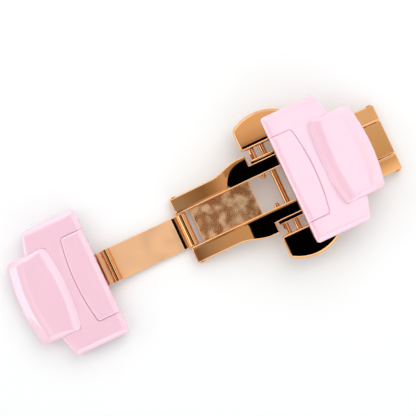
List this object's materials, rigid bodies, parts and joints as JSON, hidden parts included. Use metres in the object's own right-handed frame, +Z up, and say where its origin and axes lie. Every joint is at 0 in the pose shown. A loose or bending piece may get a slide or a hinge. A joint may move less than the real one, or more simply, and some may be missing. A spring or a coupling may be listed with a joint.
{
  "type": "deployant clasp",
  "caption": "Folding push-button clasp for a ceramic watch bracelet: arched frame, swinging wings, spring-loaded side buttons and a pink ceramic link on each wing.",
  "frame": {"origin": "on the surface the clasp lies on, below the middle of its whole length", "axes": "+X along the clasp, from the open left wing to the shut right wing; +Y towards the back button; +Z up, away from the surface"},
  "size_m": [0.06, 0.023, 0.0081],
  "materials": {
    "rose_gold_steel": "steel with a polished rose gold coating",
    "grained_rose_gold_steel": "steel with a circular grained rose gold coating",
    "pin_steel": "ground steel pin",
    "spring_steel": "bare spring wire",
    "pink_ceramic": "polished pink zirconia ceramic"
  },
  "bodies": {
    "frame": {"front_rail": "rose_gold_steel", "back_rail": "rose_gold_steel", "left_floor_plate": "grained_rose_gold_steel", "right_floor_plate": "grained_rose_gold_steel", "left_frame_hinge_pin": "pin_steel", "right_frame_hinge_pin": "pin_steel", "left_guide_rod": "pin_steel", "right_guide_rod": "pin_steel", "front_left_spring": "spring_steel", "front_right_spring": "spring_steel", "back_left_spring": "spring_steel", "back_right_spring": "spring_steel"},
    "front_button": {"front_button": "rose_gold_steel", "front_left_catch_pin": "pin_steel", "front_right_catch_pin": "pin_steel"},
    "back_button": {"back_button": "rose_gold_steel", "back_left_catch_pin": "pin_steel", "back_right_catch_pin": "pin_steel"},
    "left_wing": {"left_wing_blade": "rose_gold_steel", "left_catch_bar": "rose_gold_steel"},
    "right_wing": {"right_wing_blade": "rose_gold_steel", "right_catch_bar": "rose_gold_steel"},
    "left_link": {"left_link_hinge_pin": "pin_steel", "left_outer_link": "pink_ceramic", "left_centre_link": "pink_ceramic", "left_cover_bar": "pink_ceramic", "left_cross_pin": "pin_steel"},
    "right_link": {"right_link_hinge_pin": "pin_steel", "right_outer_link": "pink_ceramic", "right_centre_link": "pink_ceramic", "right_cover_bar": "pink_ceramic", "right_cross_pin": "pin_steel"}
  },
  "joints": [
    {"name": "front_button_press", "type": "slide", "parent": "frame", "child": "front_button", "axis": [0, 1, 0], "range_m": [0, 0.0006], "stiffness_N_per_m": 1400, "springref_m": -0.001, "deforming": ["front_left_spring", "front_right_spring"]},
    {"name": "back_button_press", "type": "slide", "parent": "frame", "child": "back_button", "axis": [0, -1, 0], "range_m": [0, 0.0006], "stiffness_N_per_m": 1400, "springref_m": -0.001, "deforming": ["back_left_spring", "back_right_spring"]},
    {"name": "left_wing_fold", "type": "hinge", "parent": "frame", "child": "left_wing", "pos_m": [-0.00269, 0, 0.0011], "axis": [0, 1, 0], "range_deg": [-12, 163.5]},
    {"name": "right_wing_fold", "type": "hinge", "parent": "frame", "child": "right_wing", "pos_m": [0.02931, 0, 0.0011], "axis": [0, 1, 0], "range_deg": [0, 175.5]},
    {"name": "left_link_pivot", "type": "hinge", "parent": "left_wing", "child": "left_link", "pos_m": [-0.01781, 0, 0.00113], "axis": [0, 1, 0], "range_deg": [-163.5, 12]},
    {"name": "right_link_pivot", "type": "hinge", "parent": "right_wing", "child": "right_link", "pos_m": [0.01481, 0, 0.00536], "axis": [0, 1, 0], "range_deg": [-175.5, 0]}
  ],
  "couplings": [
    {"joint": "left_link_pivot", "follows": "left_wing_fold", "ratio": -1},
    {"joint": "right_link_pivot", "follows": "right_wing_fold", "ratio": -1}
  ]
}
